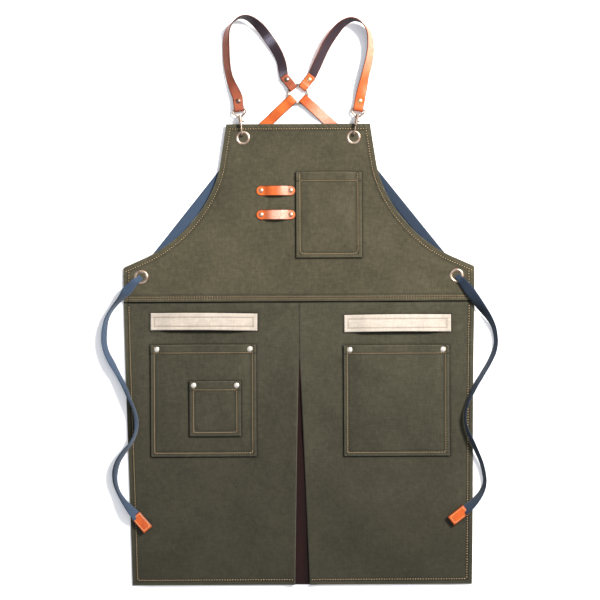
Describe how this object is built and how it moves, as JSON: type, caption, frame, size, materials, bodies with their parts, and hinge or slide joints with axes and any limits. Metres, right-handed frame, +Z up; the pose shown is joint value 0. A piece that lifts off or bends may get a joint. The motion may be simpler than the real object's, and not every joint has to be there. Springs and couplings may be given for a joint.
{
  "type": "work apron",
  "caption": "Canvas work apron with a crossed back harness of leather and webbing, snap hooks at the bib, waist ties, pockets, pen loops and tool straps, laid out flat",
  "frame": {"origin": "middle of the apron without its ties, on the surface that it lies on", "axes": "+X across the apron to the side with the chest pocket, +Y from hem to shoulder straps, +Z up out of the surface"},
  "size_m": [0.7528, 1.08, 0.0275],
  "materials": {
    "canvas": "matte",
    "pleat_cloth": "matte",
    "cream_canvas": "matte",
    "leather": "satin",
    "webbing": "matte",
    "dark_webbing": "matte",
    "bright_metal": "polished",
    "gilt_metal": "polished",
    "aged_metal": "satin"
  },
  "bodies": {
    "apron": {"bib": "canvas", "left_skirt": "canvas", "right_skirt": "canvas", "pleat_underlay": "pleat_cloth", "chest_pocket": "canvas", "left_pocket": "canvas", "right_pocket": "canvas", "small_pocket": "canvas", "left_tool_strap": "cream_canvas", "right_tool_strap": "cream_canvas", "upper_pen_loop": "leather", "lower_pen_loop": "leather", "pen_loop_rivets": "bright_metal", "left_pocket_rivets": "bright_metal", "right_pocket_rivets": "bright_metal", "small_pocket_rivets": "bright_metal", "left_neck_eyelet": "aged_metal", "right_neck_eyelet": "aged_metal", "left_waist_eyelet": "aged_metal", "right_waist_eyelet": "aged_metal", "left_neck_washer": "aged_metal", "right_neck_washer": "aged_metal", "left_waist_washer": "aged_metal", "right_waist_washer": "aged_metal", "left_shoulder_strap": "leather", "right_shoulder_strap": "leather", "left_strap_rivets": "gilt_metal", "right_strap_rivets": "gilt_metal", "left_hook_bail": "aged_metal", "right_hook_bail": "aged_metal", "left_back_strap": "leather", "right_back_strap": "leather", "left_rear_webbing": "webbing", "right_rear_webbing": "dark_webbing", "left_tie": "webbing", "right_tie": "dark_webbing", "left_tie_tip": "leather", "right_tie_tip": "leather"},
    "left_hook": {"left_hook_body": "aged_metal", "left_bolt_spring": "bright_metal"},
    "left_bolt": {"left_hook_bolt": "aged_metal"},
    "right_hook": {"right_hook_body": "aged_metal", "right_bolt_spring": "bright_metal"},
    "right_bolt": {"right_hook_bolt": "aged_metal"},
    "ring": {"back_ring": "bright_metal"}
  },
  "joints": [
    {"name": "left_hook_swivel", "type": "hinge", "parent": "apron", "child": "left_hook", "pos_m": [-0.1089, 0.33616, 0.0064], "axis": [0.1219, -0.9925, 0], "range_deg": [-45, 45]},
    {"name": "left_bolt_slide", "type": "slide", "parent": "left_hook", "child": "left_bolt", "axis": [-0.1219, 0.9925, 0], "range_m": [0, 0.007], "stiffness_N_per_m": 120, "springref_m": -0.002, "deforming": ["left_bolt_spring"]},
    {"name": "right_hook_swivel", "type": "hinge", "parent": "apron", "child": "right_hook", "pos_m": [0.11056, 0.33591, 0.0064], "axis": [-0.1736, -0.9848, 0], "range_deg": [-45, 45]},
    {"name": "right_bolt_slide", "type": "slide", "parent": "right_hook", "child": "right_bolt", "axis": [0.1736, 0.9848, 0], "range_m": [0, 0.007], "stiffness_N_per_m": 120, "springref_m": -0.002, "deforming": ["right_bolt_spring"]},
    {"name": "ring_turn", "type": "hinge", "parent": "apron", "child": "ring", "pos_m": [0, 0.3874, 0.00435], "axis": [0, 0, 1], "continuous": true}
  ]
}
